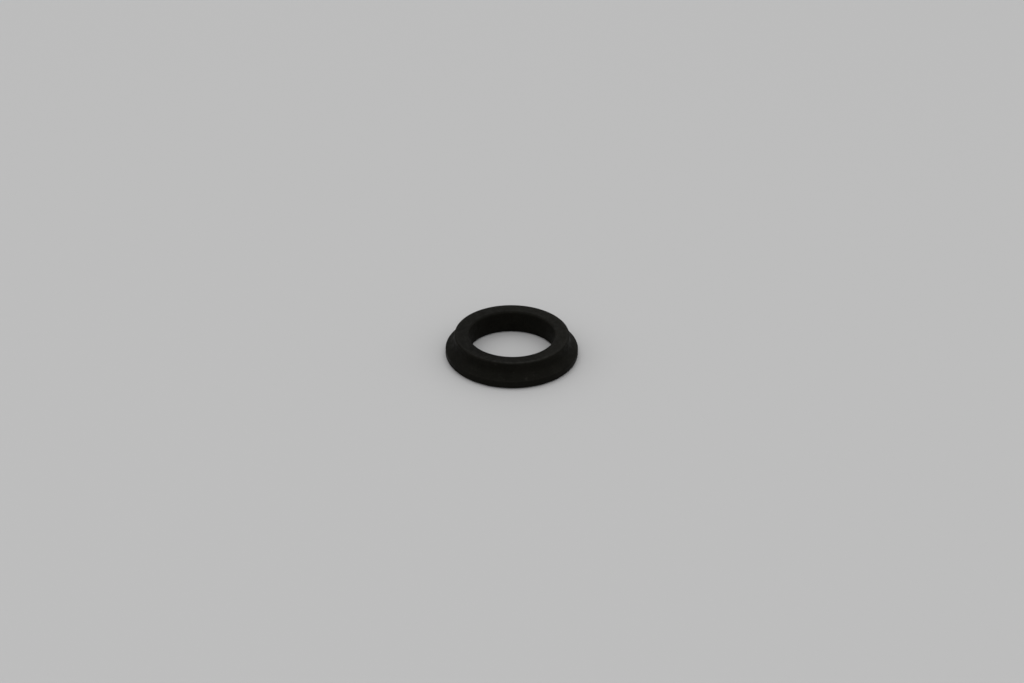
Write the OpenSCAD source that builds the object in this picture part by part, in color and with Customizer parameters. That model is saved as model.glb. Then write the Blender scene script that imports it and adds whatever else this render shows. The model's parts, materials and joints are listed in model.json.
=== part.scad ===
// Gearbox washer: a moulded rubber ring for a plain shaft.
// It lies on the flat face of its flange. A neck stands above the flange, and a hollow flare
// spreads the neck out into the flange's sloping upper face. Every edge is softly rounded.
// The ring is one solid of revolution about Z, with its bottom face at Z = 0.

/* [Bore] */
// Diameter of the straight bore
bore_d = 20; // [12:0.5:30]
// Radius of the soft edge between the bore and the top face
mouth_r = 0.5; // [0.1:0.05:1]
// Radius of the soft edge between the bore and the bottom face
foot_r = 0.8; // [0.1:0.05:1]

/* [Neck] */
// Thickness of the neck's wall at the top face
wall = 3.45; // [2.5:0.05:6]
// Height of the whole ring, from the bottom face to the top face
height = 5.65; // [5:0.05:12]
// Lean of the neck's outer side, outwards as it goes down, in degrees
draft = 5; // [0:0.5:8]
// Radius of the edge between the neck and the top face
crown_r = 0.35; // [0.1:0.05:0.8]

/* [Flange] */
// How far the flange reaches out past the top of the neck
reach = 2.1; // [1.2:0.05:4]
// Height of the flange's outer edge above the bottom face
flange_h = 2.05; // [1.6:0.05:2.6]
// Slope of the flange's upper face, falling outwards, in degrees
slope = 27; // [0:1:40]
// Radius of the flange's upper edge
rim_r = 0.45; // [0.1:0.05:0.6]
// Radius of the flange's lower edge
hem_r = 0.8; // [0.1:0.05:0.9]
// Radius of the hollow between the neck and the flange, as far as both leave room for it
flare_r = 1.7; // [0.3:0.05:3]

/* [Smoothness] */
// Number of flats round the ring
ring_fn = 96; // [48:8:240]
// Number of flats in a full circle of an edge's radius
edge_fn = 32; // [16:4:64]

/* [Hidden] */
rubber = [0.11, 0.108, 0.1];

// Narrowest flat left beyond each end of the hollow
land = 0.05;
// Depth that an arc reaches past a sloping line that it touches, so that the two meet cleanly
bite = 0.0005;

bore_r = bore_d / 2;
neck_r = bore_r + wall;
flange_r = neck_r + reach;

// A side of the half section: a point on it, and which way it faces, in degrees from outwards
function side(point, facing) = [point, [cos(facing), sin(facing)]];
bore_side = side([bore_r, 0], 180);
top_side = side([0, height], 90);
neck_side = side([neck_r, height], draft);
slope_side = side([flange_r, flange_h], 90 - slope);
edge_side = side([flange_r, 0], 0);
bottom_side = side([0, 0], 270);

// The point where two sides would cross if each were moved out by shift
function crossing(a, b, shift = 0) =
    let (p = a[0] * a[1] + shift, q = b[0] * b[1] + shift)
    [p * b[1].y - q * a[1].y, q * a[1].x - p * b[1].x] / cross(a[1], b[1]);

// How much of each side an arc of radius r takes up where the section turns by an angle
function used(r, turn) = r * tan(turn / 2);

// The hollow keeps clear of the crown's rounding on the neck and of the rim's on the slope
waist = crossing(neck_side, slope_side);
neck_room = norm(crossing(neck_side, top_side) - waist) - used(crown_r, 90 - draft) - land;
slope_room = norm(crossing(slope_side, edge_side) - waist) - used(rim_r, 90 - slope) - land;
flare = min(flare_r, min(neck_room, slope_room) / used(1, 90 - slope - draft));
flare_centre = crossing(neck_side, slope_side, flare);

// Circle of radius r at a centre
module disc(centre, r) {
    translate(centre) circle(r, $fn = edge_fn);
}

// What a rounding of radius r takes off the corner between sides a and b; past is how far the
// arc reaches past them
module corner_waste(a, b, r, past = 0) {
    centre = crossing(a, b, -r);
    difference() {
        polygon([
            centre,
            centre + 2 * r * a[1],
            2 * crossing(a, b) - centre,
            centre + 2 * r * b[1]
        ]);
        disc(centre, r + past);
    }
}

// Half section of the ring with sharp edges and the hollow of the flare
module blank() {
    difference() {
        polygon([
            crossing(bottom_side, bore_side),
            crossing(bottom_side, edge_side),
            crossing(edge_side, slope_side),
            flare_centre - flare * slope_side[1],
            flare_centre,
            flare_centre - flare * neck_side[1],
            crossing(neck_side, top_side),
            crossing(top_side, bore_side)
        ]);
        disc(flare_centre, flare + bite);
    }
}

// Half section of the ring, with its edges rounded
module section() {
    difference() {
        blank();
        corner_waste(bottom_side, bore_side, foot_r);
        corner_waste(bore_side, top_side, mouth_r);
        corner_waste(top_side, neck_side, crown_r, bite);
        corner_waste(slope_side, edge_side, rim_r, bite);
        corner_waste(edge_side, bottom_side, hem_r);
    }
}

module washer() {
    color(rubber) rotate_extrude($fn = ring_fn) section();
}

washer();
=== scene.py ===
"""Gearbox washer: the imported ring, dressed as moulded black rubber on a plain pale floor.

The ring is turned again from the CAD model's own sizes as one dense closed mesh, with the faint
unevenness of moulded rubber pressed into it, and stands for the CAD node "washer".
Lengths are in metres, angles in degrees, and +Z is up. The camera looks along +Y, and an azimuth
on the ring is counted from the camera's side, positive to the right.
"""
import json
import math

import bpy
from mathutils import Matrix, Vector, noise


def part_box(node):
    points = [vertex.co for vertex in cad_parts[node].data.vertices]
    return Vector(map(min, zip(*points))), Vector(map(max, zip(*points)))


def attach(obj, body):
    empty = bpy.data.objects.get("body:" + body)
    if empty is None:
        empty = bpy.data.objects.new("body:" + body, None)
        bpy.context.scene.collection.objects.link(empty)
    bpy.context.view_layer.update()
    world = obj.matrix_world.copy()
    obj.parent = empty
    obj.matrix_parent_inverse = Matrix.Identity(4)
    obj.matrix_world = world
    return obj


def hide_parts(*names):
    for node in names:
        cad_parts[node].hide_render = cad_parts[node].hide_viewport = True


MM = 0.001

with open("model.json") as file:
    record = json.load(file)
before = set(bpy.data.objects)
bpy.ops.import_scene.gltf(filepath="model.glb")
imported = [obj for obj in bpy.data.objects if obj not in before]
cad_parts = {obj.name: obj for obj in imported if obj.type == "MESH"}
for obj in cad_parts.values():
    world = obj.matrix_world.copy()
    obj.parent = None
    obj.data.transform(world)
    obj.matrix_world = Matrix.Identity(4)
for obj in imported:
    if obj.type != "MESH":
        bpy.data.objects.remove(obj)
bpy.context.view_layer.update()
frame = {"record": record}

# ---- Sizes of the ring -------------------------------------------------------------------------
# The bore comes from its mount, and the flange and the height from the CAD node's box. The rest
# repeat the CAD model's named values.
MOUNTS = {mount["name"]: mount for mount in frame["record"]["mounts"]}
BORE_R = MOUNTS["bore"]["dims"]["r_mm"] * MM
FLANGE_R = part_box("washer")[1].x
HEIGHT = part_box("washer")[1].z

NECK_R = 13.45 * MM
DRAFT = 5.0
FLANGE_H = 2.05 * MM
SLOPE = 27.0
MOUTH_R = 0.5 * MM
CROWN_R = 0.35 * MM
FLARE_R = 1.7 * MM
RIM_R = 0.45 * MM
HEM_R = 0.8 * MM
FOOT_R = 0.8 * MM

# The sides of the half section in order: a point on the side, the way it faces, counted from
# outwards, and the radius of the corner after it, which is negative for the hollow of the flare
SIDES = [
    ((BORE_R, 0.0), 180.0, MOUTH_R),
    ((0.0, HEIGHT), 90.0, CROWN_R),
    ((NECK_R, HEIGHT), DRAFT, -FLARE_R),
    ((FLANGE_R, FLANGE_H), 90.0 - SLOPE, RIM_R),
    ((FLANGE_R, 0.0), 0.0, HEM_R),
    ((0.0, 0.0), -90.0, FOOT_R),
]

# ---- Mesh --------------------------------------------------------------------------------------
RING_STEPS = 480
PROFILE_STEP = 0.14 * MM
ARC_STEPS_MIN = 6

# Unevenness of the moulding: wavelength and depth. It only goes inwards, so the ring stays
# inside the CAD model's box.
RELIEF = [(5.0 * MM, 0.006 * MM), (1.6 * MM, 0.004 * MM), (0.6 * MM, 0.002 * MM)]

# ---- Camera ------------------------------------------------------------------------------------
IMAGE_W = 1024
# In millimetres, as Blender's camera has it
SENSOR = 36.0
CAMERA_DISTANCE = 671.7 * MM
CAMERA_ELEVATION = 31.17
CAMERA_ROLL = -0.544
# At the ring's distance
PIXELS_PER_METRE = 4254.6
# Where the ring's origin lies from the line of sight, to the right and upwards, before the roll
ORIGIN_RIGHT = -0.032 * MM
ORIGIN_UP = -3.011 * MM
CLIP_START = 0.01
CLIP_END = 20.0

# ---- Light -------------------------------------------------------------------------------------
WORLD_HORIZON = 0.5
WORLD_ZENITH = 0.81
FLOOR_GREY = 0.52
FLOOR_HALF = 3.0
BOX_DISTANCE = 0.7
# Soft boxes: name, azimuth, elevation, half the angle that it fills as the ring sees it, and how
# bright its face is, where 1 is white
SOFT_BOXES = [
    ("top_box", 0.0, 90.0, 33.0, 0.31),
    ("left_box", -90.0, 40.0, 28.0, 0.41),
    ("right_box", 90.0, 40.0, 28.0, 0.38),
    ("back_box", 180.0, 30.0, 24.0, 0.37),
    ("front_box", 0.0, 35.0, 24.0, 0.41),
]

# ---- Finish ------------------------------------------------------------------------------------
# Colours, in linear light
RUBBER_DEEP = (0.0047, 0.0045, 0.0034)
RUBBER_PALE = (0.0074, 0.0071, 0.0055)
# Painted shade in the pits
PORE_SHADE = (0.0029, 0.0028, 0.0022)
# Painted highlight along the crown, the mouth and the flange's edge
EDGE_HIGHLIGHT_COLOUR = (0.0128, 0.0123, 0.0106)
DUST = (0.040, 0.0385, 0.033)

# Noises: the wavelength, and how much finer detail it carries
GRAIN = (0.34 * MM, 3.0)
PITS = (0.15 * MM, 1.0)
MOULD_LINES = (0.13 * MM, 1.0)
MOTTLE = (2.4 * MM, 5.0)
BREAKS = (0.9 * MM, 4.0)
SPECKS = (0.13 * MM, 0.0)
PATCHES = (3.5 * MM, 2.0)
RAGS = (0.45 * MM, 4.0)
SHEEN = (1.1 * MM, 3.0)
SKIN = (0.9 * MM, 2.0)

# How deep four of them go, as bumps in the shading only
LINES_DEPTH = 0.005 * MM
PITS_DEPTH = 0.010 * MM
GRAIN_DEPTH = 0.030 * MM
SKIN_DEPTH = 0.020 * MM

# A fade is four numbers: where it starts and ends, and what it gives at the start and at the end.
# Colour: how much of the grain and of the mould lines shows in the mottle, where the grain's share
# is painted shade in its hollows and painted light on its crests, how the mottle runs from deep to
# pale, and how dark the painted shade in the pits is
GRAIN_SHADE_SHARE = 1.3
LINES_SHARE = 0.5
MOTTLE_FADE = (0.15, 0.85, 0.0, 1.0)
PORE_SHADE_FADE = (0.42, 0.26, 0.0, 0.8)

# The faces that look up: from which tilt they count, how much paler the painted light makes them
# towards one side, where that side is, and how they get paler from the mouth to the crown
LOOKS_UP = (0.8, 1.0, 0.0, 1.0)
PAINTED_LIGHT_SIDE = 0.24
PAINTED_LIGHT_AZIMUTH = 130.0
PALE_OUTWARDS = (BORE_R, NECK_R, -0.13, 0.07)

# Painted highlight: the upper edges are paler in bands, which are full over this share of their
# half width.
# Crown: a painted highlight, strongest round this azimuth, and how strong, by how far a point lies
# towards it
BAND_CORE = 0.2
CROWN_HIGHLIGHT_R = NECK_R - 0.42 * MM
CROWN_HIGHLIGHT_HALF = 0.55 * MM
CROWN_HIGHLIGHT_AZIMUTH = 14.0
CROWN_HIGHLIGHT = (0.6, 0.85, 0.38, 1.32)
# Mouth: a painted highlight, even all round
MOUTH_HIGHLIGHT_R = BORE_R
MOUTH_HIGHLIGHT_HALF = 0.60 * MM
MOUTH_HIGHLIGHT = 0.34
# The flange's edge: a painted highlight, as the crown, but by radius alone, over this width
RIM_HIGHLIGHT_WIDTH = 0.4 * MM
RIM_HIGHLIGHT_AZIMUTH = 0.0
RIM_HIGHLIGHT = (0.1, 0.8, 0.0, 0.26)
# The painted highlight is broken along its length, and leaves the pits and the hollows of the grain
# dark
BREAK_FADE = (0.34, 0.60, 0.35, 1.0)
PITS_KEPT = (0.28, 0.50, 0.3, 1.0)
GRAIN_KEPT = (0.35, 0.6, 0.6, 1.0)

# Dust: specks that gather in patches, mostly on what looks up
SPECK_FADE = (0.72, 0.80, 0.0, 0.6)
PATCH_FADE = (0.46, 0.60, 0.0, 1.0)
DUST_LOOKS_UP = (0.0, 0.6, 0.12, 1.0)

# Gloss, roughness, and how much of the roughness the painted highlight bands take away
GLOSS = 0.0238
ROUGHNESS = (0.3, 0.7, 0.42, 0.60)
HIGHLIGHT_SMOOTHER = 0.08

# Small pale marks: the two ends as (azimuth, radius, height), half the width, and the strength
RIM_SPECK = ((13.1, 14.97 * MM, 2.34 * MM), (13.4, 14.93 * MM, 2.36 * MM), 0.42 * MM, 0.42)
TOP_SCUFF = ((-33.8, 12.75 * MM, HEIGHT), (-28.3, 12.05 * MM, HEIGHT), 0.26 * MM, 0.30)
NECK_SPECK = ((-16.4, 13.50 * MM, 4.95 * MM), (-15.6, 13.50 * MM, 4.95 * MM), 0.28 * MM, 0.24)
MARKS = [RIM_SPECK, TOP_SCUFF, NECK_SPECK]
# In half widths: how ragged the outline is, and where the mark is full and where it ends
MARK_RAGGED = 3.2
MARK_FULL = -0.5
MARK_END = 1.25
# How the pits show through a mark
MARK_THROUGH = (0.30, 0.62, 0.35, 1.0)


# ---- Section -----------------------------------------------------------------------------------
def facing(degrees):
    """The unit direction in the half section's plane, as (outwards, up)."""
    return Vector((math.cos(math.radians(degrees)), math.sin(math.radians(degrees))))


def crossing(side, after, shift):
    """The point where two sides would cross if each were moved out by shift."""
    a, b = facing(side[1]), facing(after[1])
    p = Vector(side[0]).dot(a) + shift
    q = Vector(after[0]).dot(b) + shift
    return Vector((p * b.y - q * a.y, q * a.x - p * b.x)) / (a.x * b.y - a.y * b.x)


def corner(side, after):
    """The centre of the arc between two sides, its radius, and the two directions it spans."""
    radius = side[2]
    end = after[1] if abs(after[1] - side[1]) <= 180 else after[1] - 360
    return crossing(side, after, -radius), radius, side[1], end


def section():
    """The half section once round, as (point, way it faces) pairs."""
    corners = [corner(s, SIDES[(i + 1) % len(SIDES)]) for i, s in enumerate(SIDES)]
    samples = []
    for i, (centre, radius, start, end) in enumerate(corners):
        before_centre, before_radius, _, before_end = corners[i - 1]
        first = before_centre + before_radius * facing(before_end)
        last = centre + radius * facing(start)
        steps = max(1, round((last - first).length / PROFILE_STEP))
        samples += [(first.lerp(last, k / steps), start) for k in range(steps)]
        length = abs(radius * math.radians(end - start))
        steps = max(ARC_STEPS_MIN, round(length / PROFILE_STEP))
        turns = [start + (end - start) * k / steps for k in range(steps)]
        samples += [(centre + radius * facing(t), t) for t in turns]
    return samples


def relief(place):
    """How far the moulded surface lies below its true form at a point."""
    return sum(
        depth * (0.5 + 0.5 * noise.noise(place / wavelength)) for wavelength, depth in RELIEF
    )


def build_ring():
    """One closed mesh: the section swept once round Z, with the relief pressed in."""
    samples = section()
    count = len(samples)
    verts = []
    for i in range(RING_STEPS):
        turn = Matrix.Rotation(2 * math.pi * i / RING_STEPS, 3, "Z")
        for point, way in samples:
            out = facing(way)
            place = turn @ Vector((point.x, 0, point.y))
            verts.append(place - turn @ Vector((out.x, 0, out.y)) * relief(place))
    faces = []
    for i in range(RING_STEPS):
        here, there = i * count, (i + 1) % RING_STEPS * count
        for k in range(count):
            m = (k + 1) % count
            faces.append((here + k, here + m, there + m, there + k))
    mesh = bpy.data.meshes.new("rubber_ring")
    mesh.from_pydata(verts, [], faces)
    mesh.update()
    mesh.shade_smooth()
    ring = bpy.data.objects.new("rubber_ring", mesh)
    bpy.context.scene.collection.objects.link(ring)
    return ring


# ---- Materials ---------------------------------------------------------------------------------
def around(azimuth, radius, height):
    """The point at an azimuth, a radius and a height."""
    a = math.radians(azimuth)
    return Vector((radius * math.sin(a), -radius * math.cos(a), height))


class Nodes:
    """A material and a short way to lay out its nodes."""

    def __init__(self, name):
        self.material = bpy.data.materials.new(name)
        self.material.use_nodes = True
        self.tree = self.material.node_tree
        self.shader = self.tree.nodes["Principled BSDF"]

    def add(self, kind, *values, **settings):
        """A node with its settings and its first inputs given; each input is a link or a value."""
        node = self.tree.nodes.new("ShaderNode" + kind)
        for key, value in settings.items():
            setattr(node, key, value)
        for socket, value in zip(node.inputs, values):
            self.set(socket, value)
        return node

    def set(self, socket, value):
        if isinstance(value, bpy.types.NodeSocket):
            self.tree.links.new(value, socket)
        else:
            socket.default_value = value

    def place(self):
        return self.add("TexCoord").outputs["Object"]

    def noise(self, wavelength, detail, vector=None):
        """Noise with the given wavelength, from 0 to 1 with most of it near 0.5."""
        node = self.add("TexNoise")
        self.set(node.inputs["Vector"], vector or self.place())
        node.inputs["Scale"].default_value = 1 / wavelength
        node.inputs["Detail"].default_value = detail
        return node.outputs["Fac"]

    def fade(self, value, start, end, at_start, at_end):
        """Goes from at_start to at_end along a soft curve, and stays level outside start..end."""
        node = self.add("MapRange", value, start, end, at_start, at_end)
        node.interpolation_type = "SMOOTHSTEP"
        return node.outputs["Result"]

    def math(self, operation, *values):
        return self.add("Math", *values, operation=operation).outputs["Value"]

    def swing(self, value, span):
        """Takes 0..1 to a swing of this span about 0."""
        return self.math("MULTIPLY_ADD", value, span, -0.5 * span)

    def mix(self, factor, a, b):
        """Colour a turned towards colour b by factor. Each is a link or three numbers."""
        node = self.add("Mix", data_type="RGBA")
        self.set(node.inputs["Factor"], factor)
        for name, value in (("A", a), ("B", b)):
            socket = next(s for s in node.inputs if s.name == name and s.type == "RGBA")
            self.set(socket, (*value, 1.0) if isinstance(value, tuple) else value)
        return next(s for s in node.outputs if s.type == "RGBA")

    def bump(self, height, distance, normal=None):
        """Height from 0 to 1 raised by distance, on top of an earlier bump if one is given."""
        node = self.add("Bump")
        node.inputs["Distance"].default_value = distance
        self.set(node.inputs["Height"], height)
        if normal is not None:
            self.set(node.inputs["Normal"], normal)
        return node.outputs["Normal"]

    def section_place(self):
        """The place in the half section, as the links (radius, height)."""
        xyz = self.add("SeparateXYZ", self.place())
        flat = self.add("CombineXYZ", xyz.outputs["X"], xyz.outputs["Y"])
        radius = self.add("VectorMath", flat.outputs["Vector"], operation="LENGTH")
        return radius.outputs["Value"], xyz.outputs["Z"]

    def ring_band(self, band_radius, half_width):
        """1 round the circle of this radius in the top face, falling to 0 at half_width from it."""
        radius, height = self.section_place()
        off = self.add(
            "CombineXYZ",
            self.math("SUBTRACT", radius, band_radius),
            self.math("SUBTRACT", height, HEIGHT),
        )
        distance = self.add("VectorMath", off.outputs["Vector"], operation="LENGTH")
        core = BAND_CORE * half_width
        return self.fade(distance.outputs["Value"], core, half_width, 1.0, 0.0)

    def toward(self, azimuth):
        """How far a point lies towards an azimuth: 1 at the rim there, -1 at the rim opposite."""
        way = around(azimuth, 1 / FLANGE_R, 0)
        return self.add("VectorMath", self.place(), way, operation="DOT_PRODUCT").outputs["Value"]

    def distance_to_line(self, start, end):
        """The distance from the straight line that joins two points."""
        along = end - start
        from_start = self.add("VectorMath", self.place(), start, operation="SUBTRACT")
        link = from_start.outputs["Vector"]
        share = self.add("VectorMath", link, along / along.length_squared, operation="DOT_PRODUCT")
        held = self.add("Clamp", share.outputs["Value"], 0.0, 1.0)
        foot = self.add("VectorMath", along, operation="SCALE")
        self.set(foot.inputs["Scale"], held.outputs["Result"])
        away = self.add("VectorMath", link, foot.outputs["Vector"], operation="DISTANCE")
        return away.outputs["Value"]


def edge_highlight(n, radius, pits, grain):
    """How strongly the crown, the mouth and the flange's edge get the painted highlight, as a link.
    """
    crown_by_side = n.fade(n.toward(CROWN_HIGHLIGHT_AZIMUTH), *CROWN_HIGHLIGHT)
    crown = n.math("MULTIPLY", n.ring_band(CROWN_HIGHLIGHT_R, CROWN_HIGHLIGHT_HALF), crown_by_side)
    mouth = n.math("MULTIPLY", n.ring_band(MOUTH_HIGHLIGHT_R, MOUTH_HIGHLIGHT_HALF), MOUTH_HIGHLIGHT)
    rim_inner = FLANGE_R - RIM_HIGHLIGHT_WIDTH
    rim_full = FLANGE_R - BAND_CORE * RIM_HIGHLIGHT_WIDTH
    rim_by_side = n.fade(n.toward(RIM_HIGHLIGHT_AZIMUTH), *RIM_HIGHLIGHT)
    rim = n.math("MULTIPLY", n.fade(radius, rim_inner, rim_full, 0.0, 1.0), rim_by_side)
    highlit = n.math("MAXIMUM", n.math("MAXIMUM", crown, mouth), rim)
    highlit = n.math("MULTIPLY", highlit, n.fade(n.noise(*BREAKS), *BREAK_FADE))
    standing = n.math("MULTIPLY", n.fade(pits, *PITS_KEPT), n.fade(grain, *GRAIN_KEPT))
    return n.math("MULTIPLY", highlit, standing)


def marked(n, colour, pits):
    """The colour with the small marks on it, each with a ragged outline."""
    rags = n.noise(*RAGS)
    through = n.fade(pits, *MARK_THROUGH)
    for start, end, half_width, strength in MARKS:
        away = n.distance_to_line(around(*start), around(*end))
        edge = n.math("ADD", away, n.swing(rags, MARK_RAGGED * half_width))
        mark = n.fade(edge, MARK_FULL * half_width, MARK_END * half_width, strength, 0.0)
        colour = n.mix(n.math("MULTIPLY", mark, through), colour, DUST)
    return colour


def rubber():
    """Matte black moulded rubber: finely pored and a little mottled, with painted shade in its pits
    and grain, painted light on the faces that look up, and painted highlights along its upper edges
    and the flange's edge.
    """
    n = Nodes("moulded_rubber")
    radius, height = n.section_place()
    up = n.add("SeparateXYZ", n.add("TexCoord").outputs["Normal"]).outputs["Z"]
    grain = n.noise(*GRAIN)
    pits = n.noise(*PITS)
    across = n.add("CombineXYZ", radius, height).outputs["Vector"]
    lines = n.noise(*MOULD_LINES, across)

    # Mottle, with the faint lines that the mould left, painted shade in the hollows of the grain
    # and painted light on its crests, and painted shade in the pits
    tone = n.math("ADD", n.noise(*MOTTLE), n.swing(grain, GRAIN_SHADE_SHARE))
    tone = n.math("ADD", tone, n.swing(lines, LINES_SHARE))
    colour = n.mix(n.fade(tone, *MOTTLE_FADE), RUBBER_DEEP, RUBBER_PALE)
    colour = n.mix(n.fade(pits, *PORE_SHADE_FADE), colour, PORE_SHADE)

    # Painted light: the upward faces are a little paler on one side, as a painted reflection, and
    # paler further out
    outwards = n.fade(radius, *PALE_OUTWARDS)
    paler = n.math("MULTIPLY_ADD", n.toward(PAINTED_LIGHT_AZIMUTH), PAINTED_LIGHT_SIDE, outwards)
    gain = n.math("MULTIPLY_ADD", paler, n.fade(up, *LOOKS_UP), 1.0)
    scaled = n.add("VectorMath", colour, operation="SCALE")
    n.set(scaled.inputs["Scale"], gain)

    # Painted highlight along the crown, the mouth and the flange's edge
    highlit = edge_highlight(n, radius, pits, grain)
    colour = n.mix(highlit, scaled.outputs["Vector"], EDGE_HIGHLIGHT_COLOUR)

    specks = n.fade(n.noise(*SPECKS), *SPECK_FADE)
    patches = n.fade(n.noise(*PATCHES), *PATCH_FADE)
    settled = n.math("MULTIPLY", patches, n.fade(up, *DUST_LOOKS_UP))
    colour = n.mix(n.math("MULTIPLY", specks, settled), colour, DUST)
    n.set(n.shader.inputs["Base Color"], marked(n, colour, pits))

    rough = n.fade(n.noise(*SHEEN), *ROUGHNESS)
    rough = n.math("ADD", rough, n.math("MULTIPLY", highlit, -HIGHLIGHT_SMOOTHER))
    n.set(n.shader.inputs["Roughness"], rough)
    n.shader.inputs["Specular IOR Level"].default_value = GLOSS

    # Mould lines, pores, grain, and a soft skin over them
    normal = n.bump(lines, LINES_DEPTH)
    normal = n.bump(pits, PITS_DEPTH, normal)
    normal = n.bump(grain, GRAIN_DEPTH, normal)
    normal = n.bump(n.noise(*SKIN), SKIN_DEPTH, normal)
    n.set(n.shader.inputs["Normal"], normal)
    return n.material


def pale_floor():
    n = Nodes("pale_floor")
    n.shader.inputs["Base Color"].default_value = (FLOOR_GREY, FLOOR_GREY, FLOOR_GREY, 1)
    n.shader.inputs["Roughness"].default_value = 1.0
    n.shader.inputs["Specular IOR Level"].default_value = 0.0
    return n.material


# ---- Stage -------------------------------------------------------------------------------------
def add_floor():
    mesh = bpy.data.meshes.new("floor")
    h = FLOOR_HALF
    mesh.from_pydata([(-h, -h, 0), (h, -h, 0), (h, h, 0), (-h, h, 0)], [], [(0, 1, 2, 3)])
    mesh.materials.append(pale_floor())
    floor = bpy.data.objects.new("floor", mesh)
    bpy.context.scene.collection.objects.link(floor)


def add_world():
    """Even white light, stronger from above than from the horizon."""
    world = bpy.data.worlds.new("studio")
    world.use_nodes = True
    nodes, links = world.node_tree.nodes, world.node_tree.links
    way = nodes.new("ShaderNodeTexCoord").outputs["Generated"]
    split = nodes.new("ShaderNodeSeparateXYZ")
    level = nodes.new("ShaderNodeMapRange")
    level.inputs["To Min"].default_value = WORLD_HORIZON
    level.inputs["To Max"].default_value = WORLD_ZENITH
    links.new(way, split.inputs["Vector"])
    links.new(split.outputs["Z"], level.inputs["Value"])
    links.new(level.outputs["Result"], nodes["Background"].inputs["Strength"])
    nodes["Background"].inputs["Color"].default_value = (1, 1, 1, 1)
    bpy.context.scene.world = world


def add_soft_box(name, azimuth, elevation, half_angle, level):
    """A round area lamp aimed at the ring."""
    radius = BOX_DISTANCE * math.tan(math.radians(half_angle))
    area = math.pi * radius**2
    lamp = bpy.data.lights.new(name, "AREA")
    lamp.shape = "DISK"
    lamp.size = 2 * radius
    # A matte face this bright gives off pi times its brightness on each square metre
    lamp.energy = level * math.pi * area
    a, e = math.radians(azimuth), math.radians(elevation)
    away = Vector((math.sin(a) * math.cos(e), -math.cos(a) * math.cos(e), math.sin(e)))
    box = bpy.data.objects.new(name, lamp)
    box.location = away * BOX_DISTANCE
    box.rotation_mode = "QUATERNION"
    box.rotation_quaternion = away.to_track_quat("Z", "Y")
    bpy.context.scene.collection.objects.link(box)


def add_camera():
    """The camera looks along +Y and down, rolled a little."""
    e = math.radians(CAMERA_ELEVATION)
    right = Vector((1, 0, 0))
    up = Vector((0, math.sin(e), math.cos(e)))
    ahead = Vector((0, math.cos(e), -math.sin(e)))
    place = -ORIGIN_RIGHT * right - ORIGIN_UP * up - CAMERA_DISTANCE * ahead
    c, s = math.cos(math.radians(CAMERA_ROLL)), math.sin(math.radians(CAMERA_ROLL))
    axes = Matrix((c * right - s * up, s * right + c * up, -ahead)).transposed()
    data = bpy.data.cameras.new("camera")
    data.sensor_width = SENSOR
    data.lens = PIXELS_PER_METRE * CAMERA_DISTANCE / IMAGE_W * SENSOR
    data.clip_start = CLIP_START
    data.clip_end = CLIP_END
    camera = bpy.data.objects.new("camera", data)
    camera.matrix_world = Matrix.Translation(place) @ axes.to_4x4()
    bpy.context.scene.collection.objects.link(camera)
    bpy.context.scene.camera = camera


add_camera()
add_floor()
add_world()
for soft_box in SOFT_BOXES:
    add_soft_box(*soft_box)

ring = build_ring()
ring.data.materials.append(rubber())
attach(ring, "root")
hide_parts("washer")

bpy.context.scene.view_settings.view_transform = "Standard"
